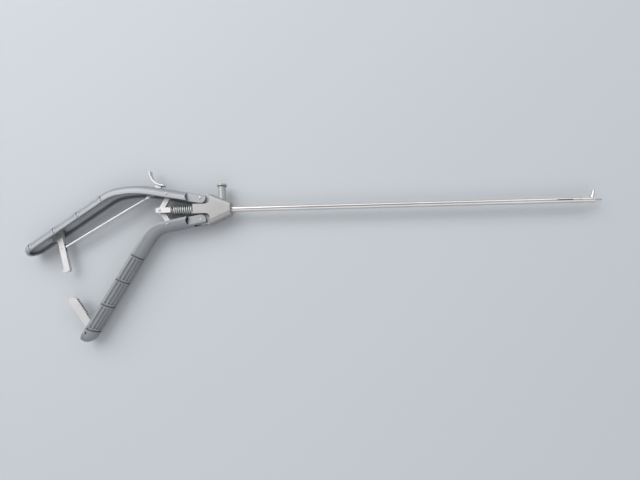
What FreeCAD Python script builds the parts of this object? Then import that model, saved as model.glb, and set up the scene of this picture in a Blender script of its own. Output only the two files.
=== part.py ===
"""Laparoscopic needle holder with V-shaped palm handles, in millimetres.

The origin lies on the shaft axis in the front face of the body block. +X runs along the shaft to
the jaw tip, +Y points to the flush port and the upper handle, +Z is up when the instrument lies
on the flat sides of its handles. At rest the handles and the jaw are open.
"""

import FreeCAD
import Part
import Sketcher
import math
import os

VECTOR = FreeCAD.Vector
SHEET_NAME = "sizes"

DRIVING_SIZES = [
    # Shaft and jaws
    ("working_length", 334.0),
    ("tube_diameter", 5.0),
    ("tube_bore", 4.2),
    ("tube_seat_depth", 16.0),
    ("tube_seat_diameter", 5.4),
    ("tube_to_tip", 18.0),
    ("jaw_length", 8.7),
    ("jaw_diameter", 4.6),
    ("jaw_open_angle", 75.0),
    ("jaw_plug_length", 9.0),
    ("jaw_slot_width", 2.0),
    ("jaw_slot_behind", 9.0),
    ("jaw_pivot_diameter", 1.2),
    ("jaw_ear_radius", 1.75),
    ("jaw_arm_top", 2.1),
    ("ear_back_angle", 30.0),
    ("ear_slope_length", 5.0),
    ("crank_lug_radius", 0.7),
    ("blade_drop", 2.2),
    ("jaw_tip_width", 2.6),
    ("jaw_lip_gap", 0.2),
    ("insert_thickness", 0.5),
    ("insert_root_width", 4.2),
    ("insert_tip_width", 2.3),
    ("insert_gap", 0.1),
    ("crank_radius", 1.5),
    ("crank_pin_diameter", 0.7),
    ("cleaning_slot_length", 14.0),
    ("cleaning_slot_width", 1.0),
    ("cleaning_slot_back", 18.0),
    # Body block
    ("body_length", 33.0),
    ("body_thickness", 13.0),
    ("nose_height", 11.4),
    ("shoulder_height", 25.6),
    ("shoulder_back", 18.2),
    ("shoulder_flat", 1.8),
    ("tongue_height", 8.4),
    ("shoulder_fillet", 3.6),
    ("slope_rounding", 3.6),
    ("nose_chamfer", 0.6),
    ("web_thickness", 6.0),
    ("web_radius", 3.9),
    ("rod_hole_length", 1.6),
    ("seal_length", 2.2),
    ("screw_diameter", 2.5),
    ("screw_back", 7.0),
    ("screw_recess", 0.4),
    ("screw_socket", 1.3),
    # Flush port
    ("port_back", 8.0),
    ("port_diameter", 6.4),
    ("port_bore", 4.2),
    ("port_flange_diameter", 8.6),
    ("port_flange_thickness", 1.5),
    ("port_top", 22.4),
    ("port_seat", 3.2),
    ("port_luer_depth", 9.0),
    ("port_flow_bore", 2.0),
    # Handles
    ("pivot_back", 26.2),
    ("pivot_offset", 9.7),
    ("handle_open_angle", 10.5),
    ("handle_width", 17.5),
    ("handle_wall", 2.0),
    ("edge_drop", 4.6),
    ("side_straight", 1.6),
    ("crown_height", 6.8),
    ("crown_corner", 5.2),
    ("fork_width", 6.4),
    ("cheek_thickness", 2.2),
    ("recess_start", 7.4),
    ("recess_radius", 5.4),
    ("slot_depth", 8.0),
    ("cavity_start", 13.0),
    ("pivot_pin_diameter", 3.0),
    ("upper_bend_start", 44.2),
    ("upper_bend_radius", 80.0),
    ("upper_bend_turn", 20.0),
    ("upper_knee_radius", 34.0),
    ("upper_knee_turn", 23.2),
    ("upper_grip_length", 76.7),
    ("lower_bend_start", 34.7),
    ("lower_bend_radius", 24.0),
    ("lower_bend_turn", 46.6),
    ("lower_grip_length", 101.4),
    ("lower_solid_end", 14.0),
    # Ring grooves and flutes of the grips
    ("ring_pitch", 25.3),
    ("ring_width", 1.4),
    ("ring_depth", 0.5),
    ("ring_count", 4.0),
    ("upper_first_ring", 0.6),
    ("lower_first_ring", 20.0),
    ("flute_length", 21.0),
    ("flute_diameter", 1.8),
    ("flute_depth", 0.5),
    ("flute_turn", 17.2),
    ("corner_flute_turn", 72.0),
    # Toggle links and yoke
    ("link_pin_along", 29.2),
    ("link_pin_drop", 1.55),
    ("link_length", 15.74),
    ("link_width", 4.4),
    ("link_thickness", 2.2),
    ("link_pin_diameter", 2.4),
    ("link_play", 0.45),
    ("yoke_tail", 3.8),
    ("yoke_nose", 9.8),
    ("yoke_height", 4.6),
    ("yoke_point", 1.4),
    ("yoke_thickness", 7.6),
    ("yoke_fork_depth", 8.7),
    ("sleeve_diameter", 4.4),
    ("sleeve_bore", 3.2),
    ("sleeve_front", 24.0),
    ("sleeve_lip", 3.0),
    ("spring_seat_diameter", 5.2),
    ("spring_seat_length", 1.2),
    ("spring_diameter", 9.2),
    ("spring_wire", 1.5),
    ("spring_turns", 10.0),
    # Drive rod
    ("rod_diameter", 2.4),
    ("rod_rear", 45.0),
    ("rod_collar_diameter", 3.1),
    ("rod_collar_length", 2.0),
    ("blade_length", 6.5),
    ("blade_play", 1.5),
    ("blade_thickness", 0.9),
    # Ratchet
    ("rack_width", 7.2),
    ("rack_thickness", 3.0),
    ("rack_along", 96.5),
    ("rack_lean", 25.0),
    ("rack_reach", 31.8),
    ("rack_root", 4.6),
    ("rack_slot_ahead", 4.9),
    ("rack_slot_behind", 6.0),
    ("rack_slot_depth", 6.3),
    ("rivet_shift", 1.0),
    ("rivet_depth", 2.6),
    ("rivet_length", 15.6),
    ("rack_tip_chamfer", 2.2),
    ("tooth_pitch", 2.2),
    ("tooth_height", 0.8),
    ("tooth_count", 8.0),
    ("rivet_diameter", 2.0),
    ("rivet_spacing", 4.6),
    ("pawl_from_end", 26.1),
    ("pawl_depth", 2.6),
    ("pawl_lean", 21.5),
    ("pawl_left", 3.2),
    ("pawl_right", 1.9),
    ("pawl_thickness", 3.0),
    ("pawl_length", 36.6),
    ("pawl_beak", 2.0),
    ("pawl_beak_height", 2.0),
    ("pawl_tail", 7.4),
    ("pawl_tail_level", 7.4),
    ("pawl_tail_width", 2.0),
    ("pawl_pin_diameter", 2.0),
    ("rod_pin_down", 15.0),
    ("rod_pin_left", 0.6),
    ("rod_play", 0.12),
    ("cross_pin_diameter", 1.2),
    ("eye_thickness", 1.4),
    ("eye_slot_width", 1.6),
    ("eye_radius", 1.3),
    ("rod_flat", 3.4),
    ("release_rod_diameter", 2.0),
    ("leaf_width", 5.0),
    ("leaf_thickness", 0.6),
    ("leaf_seat_from_end", 5.7),
    ("leaf_seat_half", 3.0),
    ("leaf_reach", 12.2),
    ("leaf_droop", 1.5),
    ("leaf_screw_diameter", 3.0),
    ("leaf_screw_head", 4.6),
    ("leaf_screw_head_height", 1.2),
    # Thumb lever
    ("lever_thickness", 3.0),
    ("lever_pad_width", 5.6),
    ("lever_pad_thickness", 1.3),
    ("lever_stem_along", 40.6),
    ("lever_stem_width", 5.2),
    ("lever_pad_height", 2.0),
    ("lever_pad_front", 3.1),
    ("lever_pad_radius", 13.3),
    ("lever_pad_front_turn", 10.0),
    ("lever_pad_rear_turn", 82.0),
    ("lever_travel", 4.0),
    ("lever_foot_along", 47.4),
    ("lever_foot_drop", 5.1),
    ("lever_foot_radius", 1.7),
    # Clearances
    ("running_clearance", 0.05),
    ("side_clearance", 0.15),
    ("surface_clearance", 0.3),
]


class Size:
    """A length or an angle kept both as a number and as an expression on the sheet."""

    def __init__(self, value, text):
        self.value = value
        self.text = text

    def __add__(self, other):
        other = as_size(other)
        return Size(self.value + other.value, f"({self.text} + {other.text})")

    def __sub__(self, other):
        other = as_size(other)
        return Size(self.value - other.value, f"({self.text} - {other.text})")

    def __mul__(self, other):
        other = as_size(other)
        return Size(self.value * other.value, f"({self.text} * {other.text})")

    def __truediv__(self, other):
        other = as_size(other)
        return Size(self.value / other.value, f"({self.text} / {other.text})")

    def __neg__(self):
        return Size(-self.value, f"(0 - {self.text})")

    def __radd__(self, other):
        return as_size(other) + self

    def __rsub__(self, other):
        return as_size(other) - self

    def __rmul__(self, other):
        return as_size(other) * self


def as_size(number):
    """Return a Size, also for a plain number."""
    if isinstance(number, Size):
        return number
    return Size(float(number), f"({float(number):.6f})" if number < 0 else f"{float(number):.6f}")


def sine(angle):
    """Sine of an angle in degrees."""
    return Size(math.sin(math.radians(angle.value)), f"sin({angle.text})")


def cosine(angle):
    """Cosine of an angle in degrees."""
    return Size(math.cos(math.radians(angle.value)), f"cos({angle.text})")


def root(square):
    """Square root."""
    return Size(math.sqrt(square.value), f"sqrt({square.text})")


doc = FreeCAD.newDocument("NeedleHolder")
sheet = doc.addObject("Spreadsheet::Sheet", SHEET_NAME)
for row, (alias, number) in enumerate(DRIVING_SIZES, start=1):
    sheet.set(f"A{row}", alias)
    sheet.set(f"B{row}", str(number))
    sheet.setAlias(f"B{row}", alias)
doc.recompute()

NUMBERS = dict(DRIVING_SIZES)
SUB_PARTS = []


def size(alias):
    """The named driving size."""
    return Size(NUMBERS[alias], f"{SHEET_NAME}.{alias}")


def new_body(label):
    """A body that becomes one sub-part of its own."""
    body = doc.addObject("PartDesign::Body", label)
    body.Label = label
    SUB_PARTS.append(body)
    return body


def place(item, base, turn=None, axis=VECTOR(0, 0, 1)):
    """Put a sub-part at a base point, turned about an axis; all bound to the sheet."""
    base = [as_size(value) for value in base]
    angle = turn.value if turn else 0.0
    item.Placement = FreeCAD.Placement(
        VECTOR(*(value.value for value in base)), FreeCAD.Rotation(axis, angle)
    )
    for name, value in zip("xyz", base):
        item.setExpression(f".Placement.Base.{name}", value.text)
    if turn:
        item.setExpression(".Placement.Rotation.Angle", turn.text)


def new_sketch(body, role, name, offset=(0, 0, 0), turn=None):
    """A sketch on one of the body's origin planes, moved and turned in that plane."""
    sketch = body.newObject("Sketcher::SketchObject", f"{body.Name}_{name}")
    plane = next(item for item in body.Origin.OriginFeatures if item.Role == role)
    sketch.AttachmentSupport = [(plane, "")]
    sketch.MapMode = "FlatFace"
    offset = [as_size(value) for value in offset]
    angle = turn.value if turn else 0.0
    sketch.AttachmentOffset = FreeCAD.Placement(
        VECTOR(*(value.value for value in offset)), FreeCAD.Rotation(VECTOR(0, 0, 1), angle)
    )
    for letter, value in zip("xyz", offset):
        sketch.setExpression(f".AttachmentOffset.Base.{letter}", value.text)
    if turn:
        sketch.setExpression(".AttachmentOffset.Rotation.Angle", turn.text)
    return sketch


class Outline:
    """A chain of lines and arcs in a sketch, with every corner bound to the sheet."""

    def __init__(self, sketch, x, y):
        self.sketch = sketch
        self.corners = [(as_size(x), as_size(y))]
        self.segments = []

    def line(self, x, y):
        """Go on in a straight line."""
        self.corners.append((as_size(x), as_size(y)))
        self.segments.append(None)
        return self

    def arc(self, x, y, centre_x, centre_y, left):
        """Go on along an arc about a centre, turning left or right."""
        self.corners.append((as_size(x), as_size(y)))
        self.segments.append((as_size(centre_x), as_size(centre_y), left))
        return self

    def close_arc(self, centre_x, centre_y, left):
        """Go back to the start along an arc."""
        self.segments.append((as_size(centre_x), as_size(centre_y), left))
        return self.finish()

    def finish(self, closed=True):
        """Draw the chain and bind it."""
        if closed and len(self.segments) < len(self.corners):
            self.segments.append(None)
        count = len(self.corners)
        ends = []
        for index, segment in enumerate(self.segments):
            start = self.corners[index]
            stop = self.corners[(index + 1) % count]
            ends.append(self._draw(start, stop, segment))
        for index, (_, stop_point) in enumerate(ends):
            if index + 1 < len(ends) or closed:
                start_point = ends[(index + 1) % len(ends)][0]
                self.sketch.addConstraint(Sketcher.Constraint("Coincident", *stop_point, *start_point))
        for index, corner in enumerate(self.corners):
            point = ends[index][0] if index < len(ends) else ends[-1][1]
            self._pin(point, corner)
        for index, segment in enumerate(self.segments):
            if segment:
                chord = (self.corners[index], self.corners[(index + 1) % count])
                self._bind_centre(ends[index][0][0], segment, chord)
        return self.sketch

    def _draw(self, start, stop, segment):
        first = VECTOR(start[0].value, start[1].value, 0)
        last = VECTOR(stop[0].value, stop[1].value, 0)
        if not segment:
            number = self.sketch.addGeometry(Part.LineSegment(first, last))
            return (number, 1), (number, 2)
        centre = VECTOR(segment[0].value, segment[1].value, 0)
        circle = Part.Circle(centre, VECTOR(0, 0, 1), (first - centre).Length)
        angles = [math.atan2(point.y - centre.y, point.x - centre.x) for point in (first, last)]
        if not segment[2]:
            angles.reverse()
        if angles[1] <= angles[0]:
            angles[1] += 2 * math.pi
        number = self.sketch.addGeometry(Part.ArcOfCircle(circle, *angles))
        return ((number, 1), (number, 2)) if segment[2] else ((number, 2), (number, 1))

    def _pin(self, point, corner):
        for kind, value in zip(("DistanceX", "DistanceY"), corner):
            number = self.sketch.addConstraint(Sketcher.Constraint(kind, -1, 1, *point, value.value))
            self.sketch.setExpression(f"Constraints[{number}]", value.text)

    def _bind_centre(self, geometry, segment, chord):
        run, rise = (abs(chord[1][axis].value - chord[0][axis].value) for axis in (0, 1))
        kind, value = ("DistanceY", segment[1]) if run > rise else ("DistanceX", segment[0])
        number = self.sketch.addConstraint(Sketcher.Constraint(kind, -1, 1, geometry, 3, value.value))
        self.sketch.setExpression(f"Constraints[{number}]", value.text)


def polygon(sketch, points):
    """A closed outline of straight lines."""
    outline = Outline(sketch, *points[0])
    for point in points[1:]:
        outline.line(*point)
    return outline.finish()


def circle(sketch, x, y, diameter):
    """A bound circle in a sketch."""
    x, y = as_size(x), as_size(y)
    number = sketch.addGeometry(
        Part.Circle(VECTOR(x.value, y.value, 0), VECTOR(0, 0, 1), diameter.value / 2)
    )
    for kind, value in (("DistanceX", x), ("DistanceY", y)):
        index = sketch.addConstraint(Sketcher.Constraint(kind, -1, 1, number, 3, value.value))
        sketch.setExpression(f"Constraints[{index}]", value.text)
    index = sketch.addConstraint(Sketcher.Constraint("Diameter", number, diameter.value))
    sketch.setExpression(f"Constraints[{index}]", diameter.text)
    return sketch


def pad(body, sketch, length, symmetric=True, reverse=False):
    """Raise a sketch into a solid."""
    feature = body.newObject("PartDesign::Pad", f"{sketch.Name}_pad")
    feature.Profile = sketch
    feature.Midplane = symmetric
    feature.Reversed = reverse
    feature.setExpression("Length", as_size(length).text)
    return feature


def pocket(body, sketch, length, symmetric=True, reverse=False):
    """Cut a sketch out of the solid."""
    feature = body.newObject("PartDesign::Pocket", f"{sketch.Name}_cut")
    feature.Profile = sketch
    feature.Midplane = symmetric
    feature.Reversed = reverse
    feature.setExpression("Length", as_size(length).text)
    return feature


def turn_solid(body, sketch, axis, kind="Revolution"):
    """Turn a sketch about one of its own axes, as added or removed material."""
    feature = body.newObject(f"PartDesign::{kind}", f"{sketch.Name}_turned")
    feature.Profile = sketch
    feature.ReferenceAxis = (sketch, [axis])
    feature.Angle = 360.0
    return feature


TURN_AXES = {"X": ("XY_Plane", "H_Axis"), "Y": ("XY_Plane", "V_Axis"), "Z": ("XZ_Plane", "V_Axis")}


def turned_sketch(body, name, axis, profile):
    """The half profile of a turned shape: points of distance along the axis and radius."""
    role, reference = TURN_AXES[axis]
    sketch = new_sketch(body, role, name)
    points = [(along, radius) if axis == "X" else (radius, along) for along, radius in profile]
    return polygon(sketch, points), reference


def turned(label, axis, profile):
    """A sub-part turned about the X, Y or Z axis of its own frame."""
    body = new_body(label)
    sketch, reference = turned_sketch(body, "profile", axis, profile)
    turn_solid(body, sketch, reference)
    return body


def bore(body, name, axis, profile):
    """A turned cut about an axis of the body's own frame."""
    sketch, reference = turned_sketch(body, name, axis, profile)
    return turn_solid(body, sketch, reference, "Groove")


def cylinder_profile(start, stop, diameter):
    """The half profile of a plain cylinder."""
    return [(start, 0), (stop, 0), (stop, diameter / 2), (start, diameter / 2)]


def edges_where(feature, test):
    """Names of the edges whose midpoint and direction pass a test."""
    doc.recompute()
    names = []
    for number, edge in enumerate(feature.Shape.Edges, start=1):
        if not isinstance(edge.Curve, (Part.Line, Part.LineSegment)):
            continue
        start, stop = edge.Vertexes[0].Point, edge.Vertexes[-1].Point
        if test((start + stop) * 0.5, (stop - start).normalize()):
            names.append(f"Edge{number}")
    return names


def round_edges(body, feature, radius, test):
    """Round the straight edges that pass a test."""
    fillet = body.newObject("PartDesign::Fillet", f"{feature.Name}_rounding")
    fillet.Base = (feature, edges_where(feature, test))
    fillet.setExpression("Radius", as_size(radius).text)
    return fillet


def near(first, second, tolerance=0.05):
    """Whether two numbers agree within a tolerance."""
    return abs(first - second) < tolerance


running = size("running_clearance")
side_gap = size("side_clearance")
surface_gap = size("surface_clearance")
jaw_pivot_x = size("working_length") - size("jaw_length")
tube_end = size("working_length") - size("tube_to_tip")
handle_half = size("handle_width") / 2
fork_half = size("fork_width") / 2
cheek_half = fork_half + size("cheek_thickness")
crank_half_turn = size("jaw_open_angle") / 2
crank_closed_x = -size("crank_radius") * sine(crank_half_turn)
crank_closed_y = -size("crank_radius") * cosine(crank_half_turn)


def slope_height(back):
    """Half height of the body block at a distance behind its front face."""
    nose = size("nose_height") / 2
    run = size("shoulder_back") - size("shoulder_flat")
    return nose + (size("shoulder_height") / 2 - nose) * back / run


def make_body_block():
    """The block that carries shaft, port and both handle pivots."""
    body = new_body("body_block")
    nose = size("nose_height") / 2
    shoulder = size("shoulder_height") / 2
    tongue = size("tongue_height") / 2
    back = size("shoulder_back")
    flat = back - size("shoulder_flat")
    upper = [(0, nose), (-flat, shoulder), (-back, shoulder), (-back, tongue), (-size("body_length"), tongue)]
    lower = [(x, -y) for x, y in reversed(upper)]
    block = pad(body, polygon(new_sketch(body, "XY_Plane", "block"), upper + lower), size("body_thickness"))
    slope = round_edges(
        body, block, size("slope_rounding"),
        lambda middle, way: abs(way.y) > 0.2 and -flat.value < middle.x < 0 and abs(middle.z) > 1,
    )
    inner = round_edges(
        body, slope, size("shoulder_fillet"),
        lambda middle, way: abs(way.z) > 0.99 and near(middle.x, -back.value)
        and near(abs(middle.y), tongue.value),
    )
    pivot_x, pivot_y = -size("pivot_back"), size("pivot_offset")
    radius = size("web_radius")
    web = Outline(new_sketch(body, "XY_Plane", "web"), -flat, shoulder)
    web.line(pivot_x, pivot_y + radius)
    web.arc(pivot_x - radius, pivot_y, pivot_x, pivot_y, True)
    web.line(pivot_x - radius, -pivot_y)
    web.arc(pivot_x, -pivot_y - radius, pivot_x, -pivot_y, True)
    web.line(-flat, -shoulder)
    pad(body, web.finish(), size("web_thickness"))
    holes = new_sketch(body, "XY_Plane", "pivot_holes")
    hole = size("pivot_pin_diameter") + 2 * running
    circle(holes, pivot_x, pivot_y, hole)
    circle(holes, pivot_x, -pivot_y, hole)
    pocket(body, holes, size("web_thickness") * 2)
    seat = size("tube_seat_depth")
    seal_end = seat + size("seal_length")
    lip_end = seal_end + size("rod_hole_length")
    tube_hole = size("tube_seat_diameter") + running
    bore(body, "shaft_bore", "X", cylinder_profile(-seal_end, as_size(1), tube_hole))
    rod_hole = size("rod_diameter") + 4 * running
    bore(body, "rod_hole", "X", cylinder_profile(-lip_end - 1, as_size(0), rod_hole))
    sleeve_hole = size("sleeve_diameter") + 2 * running
    bore(body, "sleeve_bore", "X", cylinder_profile(-size("body_length") - 1, -lip_end, sleeve_hole))
    port = new_sketch(body, "XZ_Plane", "port_hole")
    circle(port, -size("port_back"), 0, size("port_diameter") + running)
    pocket(body, port, size("shoulder_height"), symmetric=False)
    screw_hole = new_sketch(body, "XZ_Plane", "screw_hole")
    screw = circle(screw_hole, -size("screw_back"), 0, size("screw_diameter") + running)
    pocket(body, screw, size("shoulder_height"), symmetric=False, reverse=True)
    return body


def make_shaft_tube():
    """The shaft tube, with a flow hole under the port and a cleaning slot before the jaws."""
    seat = size("tube_seat_depth")
    outer, inner = size("tube_diameter") / 2, size("tube_bore") / 2
    collar = size("tube_seat_diameter") / 2
    tube = turned("shaft_tube", "X", [
        (-seat, inner), (tube_end, inner), (tube_end, outer), (0, outer), (0, collar), (-seat, collar),
    ])
    hole = circle(new_sketch(tube, "XZ_Plane", "flow_hole"), -size("port_back"), 0, size("port_flow_bore"))
    pocket(tube, hole, outer * 2, symmetric=False)
    half = size("cleaning_slot_width") / 2
    front = tube_end - size("cleaning_slot_back") / 2
    rear = front - size("cleaning_slot_length")
    slot = Outline(new_sketch(tube, "XY_Plane", "cleaning_slot"), rear, -half).line(front, -half)
    slot.arc(front, half, front, 0, True).line(rear, half).close_arc(rear, 0, True)
    pocket(tube, slot.sketch, outer * 2, symmetric=False, reverse=True)


def make_flush_port():
    """The luer port that stands on the upper slope."""
    outer, bore_radius = size("port_diameter") / 2, size("port_bore") / 2
    flange, top = size("port_flange_diameter") / 2, size("port_top")
    flow = size("port_flow_bore") / 2
    seat, under = size("port_seat"), top - size("port_flange_thickness")
    luer = top - size("port_luer_depth")
    port = turned("flush_port", "Y", [
        (seat, flow), (seat, outer), (under, outer), (under, flange),
        (top, flange), (top, bore_radius), (luer, bore_radius), (luer, flow),
    ])
    place(port, (-size("port_back"), 0, 0))


def make_shaft_screw():
    """The grub screw in the lower slope that clamps the tube."""
    radius, tip = size("screw_diameter") / 2, size("tube_seat_diameter") / 2 + running
    head = slope_height(size("screw_back")) - size("screw_recess")
    socket, floor = size("screw_socket") / 2, head - size("screw_socket")
    screw = turned("shaft_set_screw", "Y", [
        (-tip, 0), (-tip, radius), (-head, radius), (-head, socket), (-floor, socket), (-floor, 0),
    ])
    place(screw, (-size("screw_back"), 0, 0))


def make_rod_seal():
    """The ring that seals the drive rod behind the tube."""
    seat = size("tube_seat_depth")
    inner, outer = size("rod_diameter") / 2 + running, size("tube_seat_diameter") / 2
    start, stop = -seat - size("seal_length") + running, -seat - running
    turned("rod_seal", "X", [(start, inner), (stop, inner), (stop, outer), (start, outer)])


def make_fixed_jaw():
    """The lower jaw, with the plug that fills the tube and the ears that hold the hinge."""
    radius, tip = size("jaw_diameter") / 2, size("working_length")
    plug_start = tube_end - size("jaw_plug_length")
    plug_radius = size("tube_bore") / 2 - running
    ear = size("jaw_ear_radius")
    taper_start = jaw_pivot_x + ear
    jaw = turned("fixed_jaw", "X", [
        (plug_start, 0), (tip, 0), (tip, size("jaw_tip_width") / 2), (taper_start, radius),
        (tube_end, radius), (tube_end, plug_radius), (plug_start, plug_radius),
    ])
    bed = size("insert_thickness")
    ear_front = root(ear * ear - bed * bed)
    ear_back = ear * cosine(size("ear_back_angle"))
    ear_top = ear * sine(size("ear_back_angle"))
    mouth_sketch = new_sketch(jaw, "XY_Plane", "mouth")
    mouth = Outline(mouth_sketch, jaw_pivot_x - size("ear_slope_length"), radius + bed)
    mouth.line(jaw_pivot_x - ear_back, ear_top)
    mouth.arc(jaw_pivot_x + ear_front, -bed, jaw_pivot_x, 0, False)
    mouth.line(tip + bed, -bed).line(tip + bed, radius + bed).finish()
    pocket(jaw, mouth.sketch, size("tube_diameter") * 2)
    slot_start, slot_end = jaw_pivot_x - size("jaw_slot_behind"), jaw_pivot_x + ear + size("jaw_lip_gap")
    half = size("jaw_slot_width") / 2
    slot = new_sketch(jaw, "XZ_Plane", "slot")
    polygon(slot, [(slot_start, -half), (slot_end, -half), (slot_end, half), (slot_start, half)])
    pocket(jaw, slot, size("tube_diameter") * 2)
    rod_hole = size("rod_diameter") + 4 * running
    rod_end = jaw_pivot_x - size("blade_length") + size("blade_play")
    bore(jaw, "rod_hole", "X", cylinder_profile(plug_start - 1, rod_end, rod_hole))
    hinge = circle(new_sketch(jaw, "XY_Plane", "hinge"), jaw_pivot_x, 0, size("jaw_pivot_diameter"))
    pocket(jaw, hinge, size("tube_diameter") * 2)


def insert_plate(label, start, length, face):
    """A hard gripping plate that tapers to the jaw tip; its upper face lies at a height."""
    body = new_body(label)
    root_half, tip_half = size("insert_root_width") / 2, size("insert_tip_width") / 2
    sketch = new_sketch(body, "XZ_Plane", "plate", offset=(0, 0, -face))
    stop = start + length
    polygon(sketch, [(start, -root_half), (stop, -tip_half), (stop, tip_half), (start, root_half)])
    pad(body, sketch, size("insert_thickness"), symmetric=False)
    return body


def make_moving_jaw():
    """The upper jaw, drawn closed about its hinge and turned open, with its crank tail."""
    radius = size("jaw_diameter") / 2 - running
    length, ear = size("jaw_length"), size("jaw_ear_radius")
    start = ear - size("jaw_lip_gap") * 2
    jaw = turned("moving_jaw", "X", [
        (start, 0), (length, 0), (length, size("jaw_tip_width") / 2 - running), (ear, radius),
        (start, radius),
    ])
    floor = size("insert_gap") + size("insert_thickness")
    below = new_sketch(jaw, "XY_Plane", "below")
    polygon(below, [(-radius, -radius * 2), (length + 1, -radius * 2), (length + 1, floor), (-radius, floor)])
    pocket(jaw, below, radius * 4)
    relief = circle(new_sketch(jaw, "XY_Plane", "relief"), 0, 0, (ear + size("jaw_lip_gap")) * 2)
    pocket(jaw, relief, radius * 4)
    tail_z = -size("blade_thickness") / 2 - running
    lug = size("crank_lug_radius")
    disc = circle(new_sketch(jaw, "XY_Plane", "disc", offset=(0, 0, tail_z)), 0, 0, ear * 2)
    pad(jaw, disc, size("blade_thickness"))
    crank = new_sketch(jaw, "XY_Plane", "crank", offset=(crank_closed_x, crank_closed_y, tail_z))
    pad(jaw, circle(crank, 0, 0, lug * 2), size("blade_thickness"))
    arm = new_sketch(jaw, "XY_Plane", "arm", offset=(0, 0, tail_z))
    arm_top, arm_end = size("jaw_arm_top"), ear + size("jaw_lip_gap") * 3
    polygon(arm, [(0, floor), (arm_end, floor), (arm_end, arm_top), (ear / 2, arm_top)])
    pad(jaw, arm, size("blade_thickness"))
    hinge = new_sketch(jaw, "XY_Plane", "hinge")
    circle(hinge, 0, 0, size("jaw_pivot_diameter") + 2 * running)
    circle(hinge, crank_closed_x, crank_closed_y, size("crank_pin_diameter"))
    pocket(jaw, hinge, radius * 4)
    place(jaw, (jaw_pivot_x, 0, 0), size("jaw_open_angle"))


def make_jaw_pins_and_inserts():
    """The hinge pin, the crank pin and the two gripping plates."""
    pin_length = size("jaw_diameter") - surface_gap
    pin_profile = cylinder_profile(-pin_length / 2, pin_length / 2, size("jaw_pivot_diameter"))
    pin = turned("jaw_pivot_pin", "Z", pin_profile)
    place(pin, (jaw_pivot_x, 0, 0))
    reach = size("blade_thickness") + running
    crank = turned("jaw_crank_pin", "Z", cylinder_profile(-reach, reach, size("crank_pin_diameter")))
    place(crank, (jaw_pivot_x - crank_closed_x, crank_closed_y, 0))
    start = size("jaw_ear_radius") + size("jaw_lip_gap") * 2
    length = size("jaw_length") - start
    insert_plate("fixed_jaw_insert", jaw_pivot_x + start, length, as_size(0))
    moving = insert_plate("moving_jaw_insert", start, length, size("insert_gap") + size("insert_thickness"))
    place(moving, (jaw_pivot_x, 0, 0), size("jaw_open_angle"))


def make_drive_rod():
    """The rod in the shaft, with a collar in the yoke sleeve and a notched blade at the jaw."""
    radius, collar = size("rod_diameter") / 2, size("rod_collar_diameter") / 2
    rear = -size("rod_rear")
    neck = rear + size("rod_collar_length")
    blade_start = jaw_pivot_x - size("blade_length")
    rod = turned("drive_rod", "X", [
        (rear, 0), (blade_start + 1, 0), (blade_start + 1, radius), (neck, radius), (neck, collar),
        (rear, collar),
    ])
    pin = size("crank_pin_diameter") / 2 + running
    notch_x = jaw_pivot_x - crank_closed_x
    low, deck = -size("blade_drop"), -size("jaw_pivot_diameter") / 2 - 3 * running
    step = jaw_pivot_x + deck - running
    bottom = -size("crank_radius") - pin - running
    front = notch_x + pin + size("crank_lug_radius") * 0.8
    blade = new_sketch(rod, "XY_Plane", "blade", offset=(0, 0, size("blade_thickness") / 2 + running))
    polygon(blade, [
        (blade_start, low), (front, low), (front, deck), (notch_x + pin, deck), (notch_x + pin, bottom),
        (notch_x - pin, bottom), (notch_x - pin, deck), (step, deck), (step, radius), (blade_start, radius),
    ])
    pad(rod, blade, size("blade_thickness"))


def handle_point(side, x, v):
    """A point given in a handle's closed frame, at its place at rest."""
    angle = size("handle_open_angle")
    along = x * cosine(angle) + v * sine(angle)
    across = v * cosine(angle) - x * sine(angle)
    return -size("pivot_back") + along, side * (size("pivot_offset") + across)


link_pin_x, link_pin_y = handle_point(1, -size("link_pin_along"), -size("link_pin_drop"))
yoke_x = link_pin_x - root(size("link_length") * size("link_length") - link_pin_y * link_pin_y)


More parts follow.
